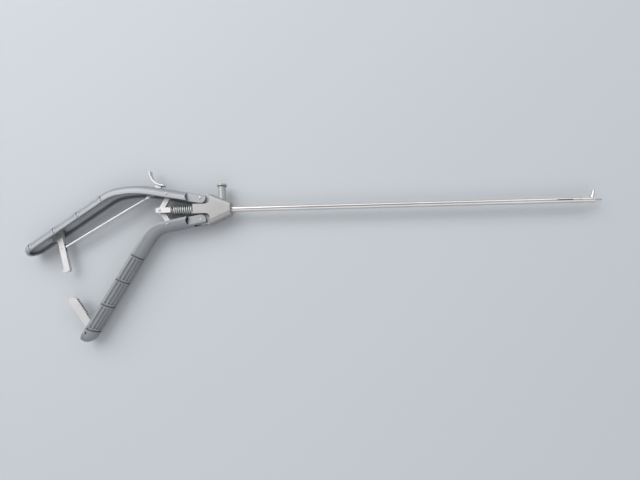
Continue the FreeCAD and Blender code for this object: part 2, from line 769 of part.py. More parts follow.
def make_yoke():
    """The forked yoke on its sleeve, which slides in the tongue of the body block."""
    yoke = new_body("yoke")
    half = size("yoke_height") / 2
    tail, nose = yoke_x - size("yoke_tail"), yoke_x + size("yoke_nose")
    block = new_sketch(yoke, "XY_Plane", "block")
    point = size("yoke_point")
    polygon(block, [
        (tail, -point), (tail + point, -half), (nose, -half), (nose, half), (tail + point, half),
        (tail, point),
    ])
    pad(yoke, block, size("yoke_thickness"))
    fork = size("link_thickness") + side_gap * 1.5
    slot = new_sketch(yoke, "XZ_Plane", "fork")
    bottom = yoke_x + size("yoke_fork_depth")
    polygon(slot, [(tail - 1, -fork), (bottom, -fork), (bottom, fork), (tail - 1, fork)])
    pocket(yoke, slot, half * 4)
    seat = nose + size("spring_seat_length")
    front, sleeve = -size("sleeve_front"), size("sleeve_diameter") / 2
    sketch, axis = turned_sketch(yoke, "sleeve", "X", [
        (nose - 1, 0), (front, 0), (front, sleeve), (seat, sleeve), (seat, size("spring_seat_diameter") / 2),
        (nose - 1, size("spring_seat_diameter") / 2),
    ])
    turn_solid(yoke, sketch, axis)
    lip = front - size("sleeve_lip")
    sleeve_bore = cylinder_profile(-size("rod_rear") - surface_gap, lip, size("sleeve_bore"))
    bore(yoke, "sleeve_bore", "X", sleeve_bore)
    bore(yoke, "lip_hole", "X", cylinder_profile(lip - 1, front + 1, size("rod_diameter") + 2 * running))
    pin = circle(new_sketch(yoke, "XY_Plane", "pin_hole"), yoke_x, 0, size("link_pin_diameter"))
    pocket(yoke, pin, size("yoke_thickness") * 2)
    length = size("yoke_thickness")
    yoke_pin = turned("yoke_pin", "Z", cylinder_profile(-length / 2, length / 2, size("link_pin_diameter")))
    place(yoke_pin, (yoke_x, 0, 0))
    inner, outer = size("rod_diameter") / 2 + running, size("sleeve_bore") / 2 - running
    start = -size("rod_rear") + size("rod_collar_length") + running
    end = lip - running
    turned("overload_spring", "X", [(start, inner), (end, inner), (end, outer), (start, outer)])


def make_return_spring():
    """The coil spring between the yoke and the tongue, as a ruled coil with flats on its wire."""
    wire, gap = NUMBERS["spring_wire"] / 2, NUMBERS["running_clearance"]
    start = yoke_x.value + NUMBERS["yoke_nose"] + wire + gap
    stop = -NUMBERS["body_length"] - wire - gap
    mean = NUMBERS["spring_diameter"] / 2 - wire
    turns, steps, flats = int(NUMBERS["spring_turns"]), 14, 7
    rise = (stop - start) / turns
    sections = []
    for number in range(turns * steps + 1):
        angle = 2 * math.pi * number / steps
        outwards = VECTOR(0, math.cos(angle), math.sin(angle))
        forwards = VECTOR(rise / (2 * math.pi), -mean * math.sin(angle), mean * math.cos(angle))
        across = forwards.cross(outwards).normalize()
        middle = VECTOR(start + rise * number / steps, 0, 0) + outwards * mean
        corners = []
        for corner in range(flats + 1):
            way = 2 * math.pi * corner / flats
            corners.append(middle + outwards * (wire * math.cos(way)) + across * (wire * math.sin(way)))
        sections.append(Part.makePolygon(corners))
    spring = doc.addObject("Part::Feature", "return_spring")
    spring.Label = "return_spring"
    spring.Shape = Part.makeLoft(sections, True, True)
    SUB_PARTS.append(spring)


def make_links():
    """The two toggle links, one above the other in the yoke fork."""
    length = size("link_length")
    ratio = (link_pin_x - yoke_x) / length
    angle = Size(math.degrees(math.acos(ratio.value)), f"acos({ratio.text})")
    half, layer = size("link_width") / 2, size("link_thickness") / 2 + side_gap / 2
    for label, side in (("upper_link", 1), ("lower_link", -1)):
        link = new_body(label)
        outline = Outline(new_sketch(link, "XY_Plane", "plate", offset=(0, 0, layer * side)), 0, -half)
        outline.line(length, -half).arc(length, half, length, 0, True).line(0, half).close_arc(0, 0, True)
        pad(link, outline.sketch, size("link_thickness"))
        holes = new_sketch(link, "XY_Plane", "holes")
        circle(holes, 0, 0, size("link_pin_diameter") + 2 * running)
        circle(holes, length, 0, size("link_pin_diameter") + 2 * size("link_play"))
        pocket(link, holes, size("link_thickness") * 6)
        place(link, (yoke_x, 0, 0), angle, VECTOR(0, 0, side))


class Handle:
    """One of the two handles, drawn closed in a frame with its pivot at the origin."""

    def __init__(self, name, side, bends, grip_length):
        self.name = name
        self.side = side
        self.bends = bends
        self.grip_length = size(grip_length)
        self.turn = sum((size(turn) for _, turn in bends), as_size(0))

    def place(self, item):
        """Put a piece of this handle at its place at rest."""
        base = (-size("pivot_back"), self.side * size("pivot_offset"), 0)
        place(item, base, size("handle_open_angle"), VECTOR(0, 0, -self.side))

    def knots(self, start):
        """The corner points of the edge line and the centres of its bends."""
        edge = -size("edge_drop")
        bend_start = -size(f"{self.name}_bend_start")
        x, v, angle = bend_start, edge, as_size(0)
        points = [(as_size(start), edge, None), (x, v, None)]
        for radius, turn in self.bends:
            radius, turn = size(radius), size(turn)
            centre_x = x + radius * sine(angle)
            centre_v = v - self.side * radius * cosine(angle)
            angle = angle + turn
            x = centre_x - radius * sine(angle)
            v = centre_v + self.side * radius * cosine(angle)
            points.append((x, v, (centre_x, centre_v)))
        return points, angle

    def grip_origin(self):
        """Where the straight grip starts on the edge line, in sketch coordinates."""
        points, _ = self.knots(0)
        x, v, _ = points[-1]
        return x, self.side * v

    def grip_point(self, along, depth):
        """A sketch point along the grip, at a depth inside its edge."""
        x, y = self.grip_origin()
        step_x = along * cosine(self.turn) + self.side * depth * sine(self.turn)
        step_y = along * sine(self.turn) - self.side * depth * cosine(self.turn)
        return x - step_x, y - step_y

    def path(self, body, name, start, straight):
        """The edge line as a sweep path, from a start to a station on the grip."""
        points, angle = self.knots(start)
        sketch = new_sketch(body, "XY_Plane", name)
        outline = Outline(sketch, points[0][0], self.side * points[0][1])
        for x, v, centre in points[1:]:
            if centre:
                outline.arc(x, self.side * v, centre[0], self.side * centre[1], True)
            else:
                outline.line(x, self.side * v)
        x, y = self.grip_point(as_size(straight), as_size(0))
        outline.line(x, y).finish(closed=False)
        return sketch

    def half_section(self, inset):
        """Sizes of the section with its wall set in: half width, crown, corner and crown radii."""
        half, crown = handle_half - inset, size("crown_height") - inset
        corner = size("crown_corner") - inset
        across = half - corner
        big = (across * across + crown * crown - corner * corner) / (2 * (crown - corner))
        return half, crown, corner, across, big

    def section(self, sketch, inset, below, edge):
        """The rounded channel section in a plane across the path: height outwards, width in z."""
        half, crown, corner, across, big = self.half_section(inset)
        shoulder = edge + size("side_straight")
        foot = edge - below
        centre = shoulder + crown - big
        join = centre + big * (big - crown) / (big - corner)
        width = big * across / (big - corner)
        side = self.side
        left = side > 0
        outline = Outline(sketch, side * foot, -half).line(side * shoulder, -half)
        outline.arc(side * join, -width, side * shoulder, -across, left)
        outline.arc(side * join, width, side * centre, 0, left)
        outline.arc(side * shoulder, half, side * shoulder, across, left)
        return outline.line(side * foot, half).finish()

    def dome(self, body, name, inset, below, kind):
        """Round the free end of the grip, as solid or as hollow."""
        half, crown, corner, across, big = self.half_section(inset)
        side = self.side
        shoulder, foot = size("side_straight"), -below
        centre = shoulder + crown - big
        join = centre + big * (big - crown) / (big - corner)
        width = big * across / (big - corner)
        x, y = self.grip_point(self.grip_length, as_size(0))
        sketch = new_sketch(body, "XY_Plane", name, offset=(x, y, 0), turn=self.turn)
        outline = Outline(sketch, 0, side * foot).line(-half, side * foot).line(-half, side * shoulder)
        outline.arc(-width, side * join, -across, side * shoulder, side < 0)
        outline.arc(0, side * (shoulder + crown), 0, side * centre, side < 0)
        outline.finish()
        return turn_solid(body, sketch, "V_Axis", kind)

    def pipe(self, body, name, kind, start, straight, inset, below):
        """Sweep the section along the edge line."""
        path = self.path(body, f"{name}_path", start, straight)
        section = new_sketch(body, "YZ_Plane", f"{name}_section", offset=(0, 0, start))
        self.section(section, inset, below, -size("edge_drop"))
        feature = body.newObject(f"PartDesign::{kind}", f"{body.Name}_{name}")
        feature.Profile = section
        feature.Spine = path
        return feature

    def cross_sketch(self, body, name, along):
        """A sketch square to the grip: height outwards on one axis, width in z on the other."""
        x, y = self.grip_point(along, as_size(0))
        sketch = new_sketch(body, "YZ_Plane", name)
        sketch.AttachmentOffset = FreeCAD.Placement(
            VECTOR(y.value, 0, x.value), FreeCAD.Rotation(VECTOR(0, 1, 0), self.turn.value)
        )
        sketch.setExpression(".AttachmentOffset.Base.x", y.text)
        sketch.setExpression(".AttachmentOffset.Base.z", x.text)
        sketch.setExpression(".AttachmentOffset.Rotation.Angle", self.turn.text)
        return sketch

    def ring_groove(self, body, name, along):
        """A shallow groove round the back of the grip."""
        sketch = self.cross_sketch(body, name, along)
        self.section(sketch, size("ring_depth"), as_size(1), as_size(0))
        reach = size("handle_width")
        polygon(sketch, [(-self.side * 2, -reach), (self.side * reach, -reach), (self.side * reach, reach),
                         (-self.side * 2, reach)])
        return pocket(body, sketch, size("ring_width"))

    def flutes(self, body, name, middle):
        """Shallow flutes along the grip between two rings: six on its back, one on each corner."""
        sketch = self.cross_sketch(body, name, middle)
        _, crown, corner, across, big = self.half_section(as_size(0))
        shoulder, diameter = size("side_straight"), size("flute_diameter")
        outwards = diameter / 2 - size("flute_depth")
        places = []
        for number in (0.5, 1.5, 2.5):
            turn = size("flute_turn") * number
            level = shoulder + crown - big + (big + outwards) * cosine(turn)
            places.append((level, (big + outwards) * sine(turn)))
        turn = size("corner_flute_turn")
        level = shoulder + (corner + outwards) * cosine(turn)
        places.append((level, across + (corner + outwards) * sine(turn)))
        for level, width in places:
            circle(sketch, self.side * level, width, diameter)
            circle(sketch, self.side * level, -width, diameter)
        return pocket(body, sketch, size("flute_length"))


def make_handle_shell(handle, cavity_length, hollow_end):
    """The curved channel of a handle, with its milled fork, pin holes and ring grooves."""
    side = handle.side
    body = new_body(f"{handle.name}_handle_shell")
    front = size("edge_drop")
    handle.pipe(body, "outer", "AdditivePipe", front, handle.grip_length, as_size(0), as_size(0))
    handle.dome(body, "dome", as_size(0), as_size(0), "Revolution")
    wall = size("handle_wall")
    handle.pipe(body, "cavity", "SubtractivePipe", -size("cavity_start"), cavity_length, wall, as_size(1))
    if hollow_end:
        handle.dome(body, "dome_cavity", wall, as_size(1), "Groove")
    edge, top = -size("edge_drop"), size("side_straight") + size("crown_height")
    slot = new_sketch(body, "XY_Plane", "fork_slot")
    polygon(slot, [
        (-size("cavity_start") - wall, side * (edge - 1)), (front + 1, side * (edge - 1)),
        (front + 1, side * top),
        (-size("slot_depth"), side * top), (-size("slot_depth"), side * (edge + top / 2)),
        (-size("cavity_start") - wall, side * (edge + top / 2)),
    ])
    pocket(body, slot, size("fork_width"))
    radius, start = size("recess_radius"), -size("recess_start")
    low, high = (edge + top / 2) - radius, (edge + top / 2) + radius
    middle = edge + top / 2
    for name, reverse in (("near_recess", False), ("far_recess", True)):
        level = -cheek_half if reverse else cheek_half
        recess = Outline(new_sketch(body, "XY_Plane", name, offset=(0, 0, level)), front + 1, side * low)
        recess.line(front + 1, side * high).line(start, side * high)
        recess.arc(start, side * low, start, side * middle, side > 0).finish()
        pocket(body, recess.sketch, size("handle_width"), symmetric=False, reverse=not reverse)
    nose = Outline(new_sketch(body, "XY_Plane", "round_nose"), 0, side * edge * 2)
    nose.line(front * 2, side * edge * 2).line(front * 2, side * front * 2).line(0, side * front * 2)
    nose.line(0, side * front).arc(0, side * edge, 0, 0, side < 0).finish()
    pocket(body, nose.sketch, size("handle_width") * 2)
    holes = new_sketch(body, "XY_Plane", "pin_holes")
    circle(holes, 0, 0, size("pivot_pin_diameter"))
    circle(holes, -size("link_pin_along"), -side * size("link_pin_drop"), size("link_pin_diameter"))
    pocket(body, holes, size("handle_width") * 2)
    handle.place(body)
    return body


def make_handle_pins(handle):
    """The pivot pin and the link pin of one handle."""
    length = cheek_half * 2
    pivot = turned(
        f"{handle.name}_pivot_pin", "Z", cylinder_profile(-length / 2, length / 2, size("pivot_pin_diameter"))
    )
    place(pivot, (-size("pivot_back"), handle.side * size("pivot_offset"), 0))
    length = size("handle_width") - surface_gap
    link = turned(
        f"{handle.name}_link_pin", "Z", cylinder_profile(-length / 2, length / 2, size("link_pin_diameter"))
    )
    place(link, (link_pin_x, handle.side * link_pin_y, 0))


upper = Handle("upper", 1,
               [("upper_bend_radius", "upper_bend_turn"), ("upper_knee_radius", "upper_knee_turn")],
               "upper_grip_length")
lower = Handle("lower", -1, [("lower_bend_radius", "lower_bend_turn")], "lower_grip_length")


def lower_rack_frame():
    """Where the rack crosses the edge of the lower grip, and the turn of its own axis."""
    x, y = lower.grip_point(size("rack_along"), as_size(0))
    return x, y, lower.turn - size("rack_lean")


def make_rack():
    """The toothed ratchet plate that is riveted into the end of the lower handle."""
    x, y, turn = lower_rack_frame()
    rack = new_body("ratchet_rack")
    half, reach, root_depth = size("rack_width") / 2, size("rack_reach"), size("rack_root")
    chamfer, pitch, height = size("rack_tip_chamfer"), size("tooth_pitch"), size("tooth_height")
    points = [(-half, -root_depth), (half, -root_depth)]
    count = int(NUMBERS["tooth_count"])
    for number in reversed(range(count)):
        level = reach - chamfer - (number + 1) * pitch
        points.append((half, level))
        points.append((half + height, level))
    points += [(half, reach - chamfer), (half - chamfer, reach)]
    points += [(chamfer - half, reach), (-half, reach - chamfer)]
    polygon_sketch = new_sketch(rack, "XY_Plane", "plate", offset=(x, y, 0), turn=turn)
    polygon(polygon_sketch, points)
    pad(rack, polygon_sketch, size("rack_thickness"))
    holes = new_sketch(rack, "XY_Plane", "rivet_holes")
    for rivet_x, rivet_y in rivet_points():
        circle(holes, rivet_x, rivet_y, size("rivet_diameter"))
    pocket(rack, holes, size("rack_thickness") * 2)
    lower.place(rack)
    return rack


def rivet_points():
    """Centres of the two rivets of the rack, in the lower handle's frame."""
    middle, half = size("rack_along") + size("rivet_shift"), size("rivet_spacing") / 2
    return [lower.grip_point(middle + way * half, size("rivet_depth")) for way in (-1, 1)]


def make_rack_seat(shell):
    """The slot and the rivet holes in the solid end of the lower handle."""
    along = size("rack_along")
    x, y = lower.grip_point(along, as_size(0))
    slot = new_sketch(shell, "XY_Plane", "rack_slot", offset=(x, y, 0), turn=lower.turn)
    ahead, behind, depth = size("rack_slot_ahead"), size("rack_slot_behind"), size("rack_slot_depth")
    polygon(slot, [(-behind, 1), (ahead, 1), (ahead, -depth), (-behind, -depth)])
    pocket(shell, slot, size("rack_thickness") + 2 * running)
    holes = new_sketch(shell, "XY_Plane", "rivet_holes")
    for rivet_x, rivet_y in rivet_points():
        circle(holes, rivet_x, rivet_y, size("rivet_diameter"))
    pocket(shell, holes, size("handle_width") * 2)


def make_rivets():
    """The two rivets, as one group of like fasteners."""
    rivets = []
    for number, (x, y) in enumerate(rivet_points(), start=1):
        rivet = doc.addObject("Part::Cylinder", f"rivet_{number}")
        rivet.setExpression("Radius", (size("rivet_diameter") / 2).text)
        rivet.setExpression("Height", size("rivet_length").text)
        place(rivet, (x, y, -size("rivet_length") / 2))
        rivets.append(rivet)
    group = doc.addObject("Part::Compound", "rack_rivets")
    group.Label = "rack_rivets"
    group.Links = rivets
    lower.place(group)
    SUB_PARTS.append(group)


def pawl_frame():
    """The pawl's pivot in the upper handle's frame."""
    x, y = upper.grip_point(upper.grip_length - size("pawl_from_end"), size("pawl_depth"))
    return x, y, size("pawl_lean")


def pawl_point(x, y):
    """A point of the pawl in the upper handle's frame."""
    base_x, base_y, lean = pawl_frame()
    return base_x + x * cosine(lean) - y * sine(lean), base_y + x * sine(lean) + y * cosine(lean)


def make_pawl():
    """The hooked pawl that hangs from the upper handle and catches the rack."""
    x, y, lean = pawl_frame()
    pawl = new_body("ratchet_pawl")
    left, right = -size("pawl_left"), size("pawl_right")
    end, beak = -size("pawl_length"), size("pawl_beak")
    top, mouth = size("pawl_right"), size("pawl_beak_height")
    tail, tail_width = -size("pawl_tail"), size("pawl_tail_width")
    tail_level = -size("pawl_tail_level")
    points = [
        (right, top), (right, end + mouth), (right - mouth / 2, end), (left, end),
        (left - beak, end + mouth / 2),
        (left - beak, end + mouth), (left, end + mouth * 1.4), (left, tail_level - tail_width),
        (left - tail_width / 2, tail_level), (tail, tail_level + tail_width / 2),
        (tail, tail_level + tail_width * 1.4), (left, tail_level + tail_width * 1.2),
        (left, top - tail_width / 2),
        (left + tail_width / 2, top),
    ]
    polygon(new_sketch(pawl, "XY_Plane", "plate", offset=(x, y, 0), turn=lean), points)
    pad(pawl, doc.getObject("ratchet_pawl_plate"), size("pawl_thickness"))
    eye_x, eye_y = -size("rod_pin_left"), -size("rod_pin_down")
    reach = size("eye_radius") + surface_gap
    slot = new_sketch(pawl, "XY_Plane", "eye_slot", offset=(x, y, 0), turn=lean)
    polygon(slot, [
        (eye_x - reach, eye_y - reach * 1.6), (right + 1, eye_y - reach * 1.6),
        (right + 1, eye_y + reach * 2.4), (eye_x - reach, eye_y + reach * 2.4),
    ])
    pocket(pawl, slot, size("eye_slot_width"))
    holes = new_sketch(pawl, "XY_Plane", "holes", offset=(x, y, 0), turn=lean)
    circle(holes, 0, 0, size("pawl_pin_diameter") + 2 * running)
    circle(holes, eye_x, eye_y, size("cross_pin_diameter"))
    pocket(pawl, holes, size("pawl_thickness") * 2)
    upper.place(pawl)


def on_upper(label, x, y, length, diameter):
    """A cross pin that stands at a point of the upper handle's frame."""
    pin = new_body(label)
    sketch = new_sketch(pin, "XY_Plane", "round", offset=(x, y, 0))
    pad(pin, circle(sketch, 0, 0, diameter), length)
    upper.place(pin)


def make_lever():
    """The thumb lever: curved pad, stem through the back of the handle, and foot."""
    lever = new_body("thumb_lever")
    half = size("lever_stem_width") / 2
    stem, foot_x = -size("lever_stem_along"), -size("lever_foot_along")
    foot_y, foot_r = -size("lever_foot_drop"), size("lever_foot_radius")
    back = size("side_straight") + size("crown_height") - size("edge_drop")
    neck = back + size("lever_pad_height") + size("lever_pad_thickness") / 2
    stem_sketch = new_sketch(lever, "XY_Plane", "stem")
    polygon(stem_sketch, [
        (stem + half, neck), (stem - half, neck), (stem - half, 0), (foot_x - foot_r, foot_y),
        (foot_x + foot_r, foot_y), (stem + half, 0),
    ])
    pad(lever, stem_sketch, size("lever_thickness"))
    foot = circle(new_sketch(lever, "XY_Plane", "foot"), foot_x, foot_y, foot_r * 2)
    pad(lever, foot, size("lever_thickness"))
    outer = size("lever_pad_radius")
    inner = outer - size("lever_pad_thickness")
    centre_x, centre_y = stem + size("lever_pad_front"), back + size("lever_pad_height") + outer
    front, rear = size("lever_pad_front_turn"), size("lever_pad_rear_turn")
    pad_sketch = Outline(
        new_sketch(lever, "XY_Plane", "pad"), centre_x - outer * sine(rear), centre_y - outer * cosine(rear)
    )
    pad_sketch.arc(
        centre_x + outer * sine(front), centre_y - outer * cosine(front), centre_x, centre_y, True
    )
    pad_sketch.line(centre_x + inner * sine(front), centre_y - inner * cosine(front))
    pad_sketch.arc(
        centre_x - inner * sine(rear), centre_y - inner * cosine(rear), centre_x, centre_y, False
    ).finish()
    pad(lever, pad_sketch.sketch, size("lever_pad_width"))
    slot = new_sketch(lever, "XY_Plane", "eye_slot")
    reach = foot_r + 1
    polygon(slot, [
        (foot_x - reach, foot_y - reach), (foot_x + reach, foot_y - reach),
        (foot_x + reach, foot_y + foot_r), (foot_x - reach, foot_y + foot_r),
    ])
    pocket(lever, slot, size("eye_slot_width"))
    hole = circle(new_sketch(lever, "XY_Plane", "pin_hole"), foot_x, foot_y, size("cross_pin_diameter"))
    pocket(lever, hole, size("lever_thickness") * 2)
    upper.place(lever)


def make_lever_slot(shell):
    """The slot in the back of the upper handle that guides the lever's stem."""
    half = size("lever_stem_width") / 2
    stem = -size("lever_stem_along")
    start, stop = stem - half - surface_gap, stem + half + size("lever_travel") + surface_gap
    width = size("lever_thickness") / 2 + side_gap
    slot = new_sketch(shell, "XZ_Plane", "lever_slot")
    polygon(slot, [(start, -width), (stop, -width), (stop, width), (start, width)])
    pocket(shell, slot, size("handle_width"), symmetric=False)


def make_release_rod():
    """The thin rod from the lever's foot to the pawl, with a flat eye at each end."""
    foot_x, foot_y = -size("lever_foot_along"), -size("lever_foot_drop")
    pin_x, pin_y = pawl_point(-size("rod_pin_left"), -size("rod_pin_down"))
    run_x, run_y = foot_x - pin_x, foot_y - pin_y
    length = root(run_x * run_x + run_y * run_y)
    sine_of = run_y / length
    angle = Size(math.degrees(math.asin(sine_of.value)), f"asin({sine_of.text})")
    rod = new_body("release_rod")
    radius, eye = size("release_rod_diameter") / 2, size("eye_radius")
    flat = size("rod_flat")
    sketch = new_sketch(rod, "XY_Plane", "rod", offset=(pin_x, pin_y, 0), turn=angle)
    polygon(sketch, [(flat, 0), (length - flat, 0), (length - flat, radius), (flat, radius)])
    turn_solid(rod, sketch, "H_Axis")
    for name, station in (("pawl_eye", as_size(0)), ("lever_eye", length)):
        plate = new_sketch(rod, "XY_Plane", name, offset=(pin_x, pin_y, 0), turn=angle)
        way = 1 if name == "pawl_eye" else -1
        joint = station + way * (flat + radius)
        outline = Outline(plate, station, -way * eye).line(joint, -way * radius * 0.7)
        outline.line(joint, way * radius * 0.7).line(station, way * eye)
        outline.close_arc(station, 0, True)
        pad(rod, plate, size("eye_thickness"))
    holes = new_sketch(rod, "XY_Plane", "holes", offset=(pin_x, pin_y, 0), turn=angle)
    circle(holes, 0, 0, size("cross_pin_diameter") + 2 * size("rod_play"))
    circle(holes, length, 0, size("cross_pin_diameter") + 2 * running)
    pocket(rod, holes, size("eye_slot_width") * 2)
    upper.place(rod)


def leaf_ceiling():
    """Height of the channel's ceiling above the edge line."""
    return size("side_straight") + size("crown_height") - size("handle_wall")


def leaf_screw_cut(body):
    """The screw's hole through a piece of the upper handle."""
    x, y = upper.grip_point(upper.grip_length - size("leaf_seat_from_end"), as_size(0))
    sketch = new_sketch(body, "XY_Plane", "leaf_screw_hole", offset=(x, y, 0), turn=upper.turn)
    radius, top = size("leaf_screw_diameter") / 2, leaf_ceiling() + size("handle_wall")
    polygon(sketch, [(0, 0), (radius, 0), (radius, top + 1), (0, top + 1)])
    turn_solid(body, sketch, "V_Axis", "Groove")


def make_leaf_spring():
    """The bent leaf that presses the pawl's tail, and its screw in the back of the handle."""
    thick = size("leaf_thickness")
    x, y = upper.grip_point(upper.grip_length - size("leaf_seat_from_end"), as_size(0))
    leaf = new_body("leaf_spring")
    *_, crown_radius = upper.half_section(size("handle_wall"))
    half_width = size("leaf_width") / 2
    sag = crown_radius - root(crown_radius * crown_radius - half_width * half_width)
    ceiling = leaf_ceiling() - sag - running
    half_seat, tip, droop = size("leaf_seat_half"), size("leaf_reach"), size("leaf_droop")
    upper_line = [
        (-half_seat, ceiling), (half_seat, ceiling), (half_seat * 2, ceiling * 0.6),
        (tip * 0.7, droop * 0.8), (tip, -droop),
    ]
    sketch = new_sketch(leaf, "XY_Plane", "strip", offset=(x, y, 0), turn=upper.turn)
    polygon(sketch, upper_line + [(px, py - thick) for px, py in reversed(upper_line)])
    pad(leaf, sketch, size("leaf_width"))
    leaf_screw_cut(leaf)
    upper.place(leaf)
    screw = new_body("leaf_spring_screw")
    radius, head = size("leaf_screw_diameter") / 2 - running, size("leaf_screw_head") / 2
    seat = ceiling - thick - running
    low, top = seat - size("leaf_screw_head_height"), leaf_ceiling() + size("handle_wall") * 0.7
    sketch = new_sketch(screw, "XY_Plane", "profile", offset=(x, y, 0), turn=upper.turn)
    polygon(sketch, [(0, low), (head, low), (head, seat), (radius, seat), (radius, top), (0, top)])
    turn_solid(screw, sketch, "V_Axis")
    upper.place(screw)


def make_all():
    """Build every sub-part."""
    make_body_block()
    make_shaft_tube()
    make_flush_port()
    make_shaft_screw()
    make_rod_seal()
    make_fixed_jaw()
    make_moving_jaw()
    make_jaw_pins_and_inserts()
    make_drive_rod()
    make_yoke()
    make_return_spring()
    make_links()
    upper_shell = make_handle_shell(upper, upper.grip_length, True)
    make_lever_slot(upper_shell)
    x, y, _ = pawl_frame()
    hole = circle(new_sketch(upper_shell, "XY_Plane", "pawl_pin_hole"), x, y, size("pawl_pin_diameter"))
    pocket(upper_shell, hole, size("handle_width") * 2)
    leaf_screw_cut(upper_shell)
    lower_shell = make_handle_shell(lower, lower.grip_length - size("lower_solid_end"), False)
    make_rack_seat(lower_shell)
    grips = ((upper, upper_shell, "upper_first_ring"), (lower, lower_shell, "lower_first_ring"))
    for handle, shell, first in grips:
        for number in range(int(NUMBERS["ring_count"])):
            handle.ring_groove(shell, f"ring_{number}", size(first) + number * size("ring_pitch"))
        for number in range(int(NUMBERS["ring_count"]) - 1):
            handle.flutes(shell, f"flutes_{number}", size(first) + (number + 0.5) * size("ring_pitch"))
        make_handle_pins(handle)
    make_rack()
    make_rivets()
    make_pawl()
    on_upper("pawl_pivot_pin", x, y, size("handle_width") - 4 * surface_gap, size("pawl_pin_diameter"))
    eye_x, eye_y = pawl_point(-size("rod_pin_left"), -size("rod_pin_down"))
    on_upper("pawl_rod_pin", eye_x, eye_y, size("pawl_thickness"), size("cross_pin_diameter"))
    on_upper(
        "lever_rod_pin", -size("lever_foot_along"), -size("lever_foot_drop"), size("lever_thickness"),
        size("cross_pin_diameter"),
    )
    make_lever()
    make_release_rod()
    make_leaf_spring()


make_all()


def export_sub_parts():
    """Check every object and write one file for each sub-part."""
    doc.recompute()
    for item in doc.Objects:
        if "Invalid" in item.State or "Error" in item.State:
            raise RuntimeError(f"{item.Label} did not build: {item.State}")
    os.makedirs("parts", exist_ok=True)
    for item in SUB_PARTS:
        if item.Shape.isNull() or not item.Shape.isValid():
            raise RuntimeError(f"{item.Label} has no valid shape")
        item.Shape.exportStep(f"parts/{item.Label}.step")
        print(f"{item.Label}: {len(item.Shape.Solids)} solid, {item.Shape.Volume:.1f} mm3")


export_sub_parts()
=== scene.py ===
"""Looks of a laparoscopic needle holder: finishes, worked details, soft light and camera.

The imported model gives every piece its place. Each sub-assembly below dresses its own pieces and
adds the small details that a plain solid lacks. Lengths are metres, apart from names that end in
_mm or _px.
"""

import logging
import math
from dataclasses import dataclass
from enum import Enum

import bmesh
import bpy
from mathutils import Matrix, Vector

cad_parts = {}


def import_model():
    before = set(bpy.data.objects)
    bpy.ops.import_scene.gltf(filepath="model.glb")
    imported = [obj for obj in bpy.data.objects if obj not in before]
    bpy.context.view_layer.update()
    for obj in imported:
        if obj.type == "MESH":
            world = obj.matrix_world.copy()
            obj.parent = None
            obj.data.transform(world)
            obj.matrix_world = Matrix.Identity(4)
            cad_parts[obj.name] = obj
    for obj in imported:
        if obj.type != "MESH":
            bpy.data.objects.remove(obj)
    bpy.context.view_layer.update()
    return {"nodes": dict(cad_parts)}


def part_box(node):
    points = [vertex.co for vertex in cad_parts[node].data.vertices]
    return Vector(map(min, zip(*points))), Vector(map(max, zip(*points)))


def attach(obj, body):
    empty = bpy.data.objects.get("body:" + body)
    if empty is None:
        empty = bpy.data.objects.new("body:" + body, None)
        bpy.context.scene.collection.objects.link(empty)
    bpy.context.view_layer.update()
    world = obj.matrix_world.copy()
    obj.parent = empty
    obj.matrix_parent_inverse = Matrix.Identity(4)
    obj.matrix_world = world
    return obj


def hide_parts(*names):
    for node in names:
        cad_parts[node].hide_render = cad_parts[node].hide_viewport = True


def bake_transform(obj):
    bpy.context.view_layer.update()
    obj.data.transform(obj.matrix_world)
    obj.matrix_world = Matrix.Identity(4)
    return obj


LOG = logging.getLogger("needle_holder")
MM = 0.001
WELD = 0.001 * MM
SHARP_DEG = 35
FULL_TURN = 2 * math.pi

# Colour of the painted shade that darkens hollows, grooves and gaps where walls stand near.
PAINTED_SHADE = "2B3038"
# Length of one band of Blender's wave texture at a scale of 1.
WAVE_BAND = 0.314


def linear(hex_colour: str) -> tuple[float, float, float, float]:
    """Turn an sRGB hex colour to linear values.

    Args:
        hex_colour: Six hex digits, such as "8A8C8B".

    Returns:
        Linear red, green and blue, and an alpha of 1.
    """
    channels = (int(hex_colour[start:start + 2], 16) / 255 for start in (0, 2, 4))
    red, green, blue = (
        channel / 12.92 if channel <= 0.04045 else ((channel + 0.055) / 1.055) ** 2.4
        for channel in channels
    )
    return red, green, blue, 1.0


def add_node(tree: bpy.types.NodeTree, kind: str, values: dict, links: dict) -> bpy.types.Node:
    """Add a shader node with its settings and links.

    Args:
        tree: The material's or world's node tree.
        kind: Blender's name for the kind of node.
        values: Settings of the node by name, and input values by socket name.
        links: Output sockets by the name of the input that they feed.

    Returns:
        The new node.
    """
    node = tree.nodes.new(kind)
    for name, value in values.items():
        if name in node.inputs:
            node.inputs[name].default_value = value
        else:
            setattr(node, name, value)
    for name, source in links.items():
        tree.links.new(source, node.inputs[name])
    return node


def new_material(name: str) -> bpy.types.Material:
    """Start a material with an empty node tree.

    Args:
        name: What the real material is and how its surface was made.

    Returns:
        The material.
    """
    material = bpy.data.materials.new(name)
    material.use_nodes = True
    material.node_tree.nodes.clear()
    return material


def new_piece(name: str, mesh: bmesh.types.BMesh, material: bpy.types.Material) -> bpy.types.Object:
    """Turn a finished bmesh into a smooth piece at the origin.

    Args:
        name: The piece's name.
        mesh: Its shape; it is freed.
        material: Its finish.

    Returns:
        The piece.
    """
    bmesh.ops.recalc_face_normals(mesh, faces=mesh.faces)
    data = bpy.data.meshes.new(name)
    mesh.to_mesh(data)
    mesh.free()
    data.polygons.foreach_set("use_smooth", [True] * len(data.polygons))
    data.set_sharp_from_angle(angle=math.radians(SHARP_DEG))
    data.materials.append(material)
    piece = bpy.data.objects.new(name, data)
    bpy.context.scene.collection.objects.link(piece)
    LOG.info("made %s", name)
    return piece


